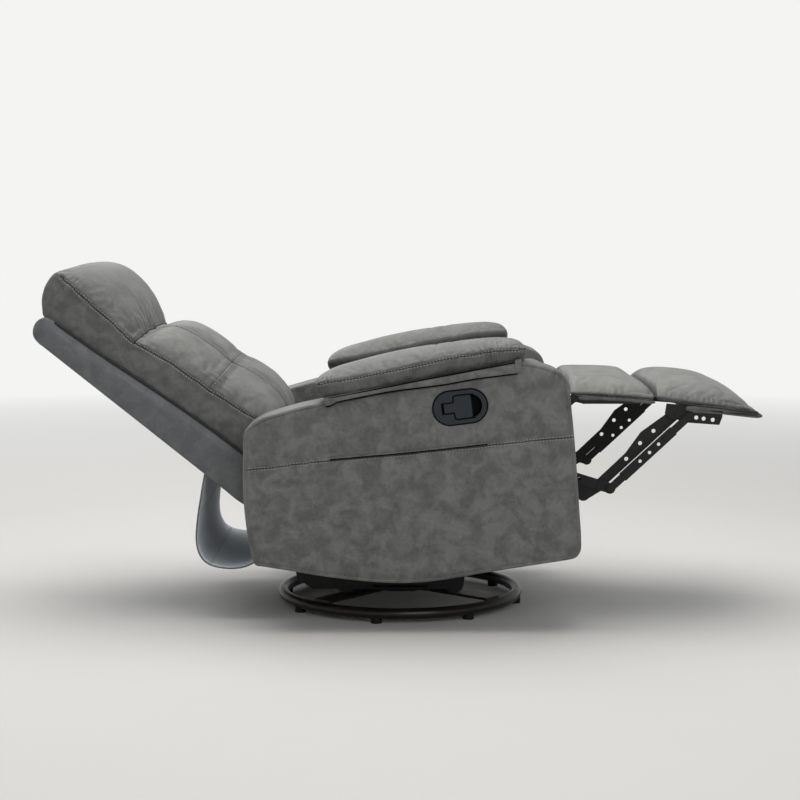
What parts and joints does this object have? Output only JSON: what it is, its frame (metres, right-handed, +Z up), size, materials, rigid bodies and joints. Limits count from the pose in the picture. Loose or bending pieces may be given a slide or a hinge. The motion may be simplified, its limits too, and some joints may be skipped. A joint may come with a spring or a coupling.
{
  "type": "swivel glider recliner",
  "caption": "Padded leather recliner with a hinged back, folding footrest, latch handle, and a gliding swivel base on a steel floor ring.",
  "frame": {"origin": "on the floor, on the swivel axis, under the middle of the reclined chair", "axes": "+X to the front of the chair, towards the footrest; +Y to the sitter's left; +Z up"},
  "size_m": [1.5707, 0.772, 0.7841],
  "materials": {
    "black_steel": "black powder coat, low sheen",
    "bronze_steel": "dark bronze-black coat, low sheen",
    "bright_steel": "plain steel",
    "spring_steel": "oiled spring wire",
    "arm_leather": "mottled faux leather, satin",
    "pad_leather": "mottled faux leather, satin, aged on its crowns",
    "shell_leather": "darker faux leather, satin",
    "flap_lining": "light blue-grey lining felt",
    "board": "board wrapped in black cloth",
    "frame_wood": "plain frame wood",
    "black_plastic": "fine-grained moulded plastic",
    "foot_rubber": "moulded glide"
  },
  "bodies": {
    "base": {"base_ring": "bronze_steel", "base_cross_arms": "bronze_steel", "floor_pads": "foot_rubber", "bearing_lower_race": "black_steel"},
    "swivel": {"bearing_upper_race": "black_steel", "swivel_plate": "black_steel", "glider_ears": "black_steel", "swivel_rivets": "bright_steel"},
    "glide_link_front": {"swing_links_front": "black_steel"},
    "glide_link_rear": {"swing_links_rear": "black_steel"},
    "chassis": {"glider_plate_left": "black_steel", "glider_plate_right": "black_steel", "chassis_tubes": "black_steel", "chassis_rivets": "bright_steel", "mechanism_rail_left": "black_steel", "mechanism_rail_right": "black_steel", "rear_rail": "frame_wood", "arm_left": "arm_leather", "arm_right": "arm_leather", "arm_inner_panels": "arm_leather", "arm_pad_left": "pad_leather", "arm_pad_right": "pad_leather", "arm_pad_strips": "arm_leather", "handle_bezel": "black_plastic"},
    "handle": {"handle_paddle": "black_plastic"},
    "carrier_front": {"carrier_links_front": "black_steel"},
    "carrier_rear": {"carrier_links_rear": "black_steel"},
    "seat": {"seat_plate_left": "black_steel", "seat_plate_right": "black_steel", "seat_rivets": "bright_steel", "seat_side_rails": "frame_wood", "seat_cross_rails": "frame_wood", "seat_springs": "spring_steel", "seat_cushion": "pad_leather"},
    "back": {"back_brackets": "black_steel", "back_frame": "frame_wood", "back_shell": "shell_leather", "back_cushion": "pad_leather", "headrest_cushion": "pad_leather", "flap_bead": "shell_leather"},
    "flap_upper": {"flap_upper": "flap_lining"},
    "flap_middle": {"flap_middle": "flap_lining"},
    "flap_lower": {"flap_lower": "flap_lining"},
    "leg_rest": {"leg_hinge_arms": "black_steel", "leg_board": "board", "leg_pad": "pad_leather"},
    "footrest_main": {"footrest_main_links": "black_steel", "footrest_drive_tube": "black_steel", "elbow_rivets": "bright_steel"},
    "footrest_control": {"footrest_control_links": "black_steel"},
    "footrest_upper": {"footrest_upper_links": "black_steel"},
    "footrest_lower": {"footrest_lower_links": "black_steel"},
    "ottoman": {"footrest_brackets": "black_steel", "toe_rivets": "bright_steel", "foot_board": "board", "foot_pad": "pad_leather"}
  },
  "joints": [
    {"name": "swivel_turn", "type": "hinge", "parent": "base", "child": "swivel", "pos_m": [0, 0, 0.048], "axis": [0, 0, 1], "continuous": true},
    {"name": "glide", "type": "hinge", "parent": "swivel", "child": "glide_link_front", "pos_m": [0.12, 0, 0.186], "axis": [0, 1, 0], "range_deg": [-24, 24]},
    {"name": "glide_level", "type": "hinge", "parent": "glide_link_front", "child": "chassis", "pos_m": [0.12, 0, 0.066], "axis": [0, 1, 0], "range_deg": [-24, 24]},
    {"name": "glide_rear", "type": "hinge", "parent": "swivel", "child": "glide_link_rear", "pos_m": [-0.12, 0, 0.186], "axis": [0, 1, 0], "range_deg": [-24, 24]},
    {"name": "recline", "type": "hinge", "parent": "chassis", "child": "carrier_front", "pos_m": [0.075, 0, 0.15], "axis": [0, -1, 0], "range_deg": [0, 37]},
    {"name": "recline_seat", "type": "hinge", "parent": "carrier_front", "child": "seat", "pos_m": [0.12494, 0, 0.24801], "axis": [0, -1, 0], "range_deg": [-37, 0]},
    {"name": "recline_rear", "type": "hinge", "parent": "chassis", "child": "carrier_rear", "pos_m": [-0.18, 0, 0.15], "axis": [0, -1, 0], "range_deg": [0, 37]},
    {"name": "back_fold", "type": "hinge", "parent": "seat", "child": "back", "pos_m": [-0.218, 0, 0.345], "axis": [0, 1, 0], "range_deg": [0, 39.01]},
    {"name": "flap_top_fold", "type": "hinge", "parent": "back", "child": "flap_upper", "pos_m": [-0.42111, 0, 0.32405], "axis": [0, 1, 0], "range_deg": [-55.93, 0]},
    {"name": "flap_mid_fold", "type": "hinge", "parent": "flap_upper", "child": "flap_middle", "pos_m": [-0.441, 0, 0.16], "axis": [0, 1, 0], "range_deg": [0, 35.2]},
    {"name": "flap_sole_fold", "type": "hinge", "parent": "flap_middle", "child": "flap_lower", "pos_m": [-0.366, 0, 0.108], "axis": [0, 1, 0], "range_deg": [0, 35.26]},
    {"name": "footrest_fold", "type": "hinge", "parent": "seat", "child": "footrest_main", "pos_m": [0.233, 0, 0.36], "axis": [0, 1, 0], "range_deg": [0, 80]},
    {"name": "footrest_control", "type": "hinge", "parent": "seat", "child": "footrest_control", "pos_m": [0.198, 0, 0.339], "axis": [0, 1, 0], "range_deg": [0, 80]},
    {"name": "footrest_elbow", "type": "hinge", "parent": "footrest_main", "child": "footrest_upper", "pos_m": [0.432, 0, 0.298], "axis": [0, 1, 0], "range_deg": [-80, 0]},
    {"name": "footrest_lower_elbow", "type": "hinge", "parent": "footrest_main", "child": "footrest_lower", "pos_m": [0.454, 0, 0.29115], "axis": [0, 1, 0], "range_deg": [-80, 0]},
    {"name": "footrest_toe", "type": "hinge", "parent": "footrest_upper", "child": "ottoman", "pos_m": [0.6, 0, 0.455], "axis": [0, 1, 0], "range_deg": [0, 80]},
    {"name": "leg_rest_fold", "type": "hinge", "parent": "seat", "child": "leg_rest", "pos_m": [0.372, 0, 0.486], "axis": [0, 1, 0], "range_deg": [0, 116.01]},
    {"name": "handle_pull", "type": "hinge", "parent": "chassis", "child": "handle", "pos_m": [0.09522, -0.372, 0.47734], "axis": [0.1219, 0, -0.9925], "range_deg": [0, 35], "stiffness_Nm_per_rad": 0.35, "springref_deg": -8.59}
  ],
  "couplings": [
    {"joint": "glide_level", "follows": "glide", "ratio": -1},
    {"joint": "glide_rear", "follows": "glide", "ratio": 1},
    {"joint": "recline_seat", "follows": "recline", "ratio": -1},
    {"joint": "recline_rear", "follows": "recline", "ratio": 1},
    {"joint": "back_fold", "follows": "recline", "ratio": 1.0541},
    {"joint": "flap_top_fold", "follows": "recline", "ratio": -1.5111},
    {"joint": "flap_mid_fold", "follows": "recline", "ratio": 0.9507},
    {"joint": "flap_sole_fold", "follows": "recline", "ratio": 0.9525},
    {"joint": "footrest_control", "follows": "footrest_fold", "ratio": 1},
    {"joint": "footrest_elbow", "follows": "footrest_fold", "ratio": -1},
    {"joint": "footrest_lower_elbow", "follows": "footrest_fold", "ratio": -1},
    {"joint": "footrest_toe", "follows": "footrest_fold", "ratio": 1},
    {"joint": "leg_rest_fold", "follows": "footrest_fold", "ratio": 1.45}
  ]
}
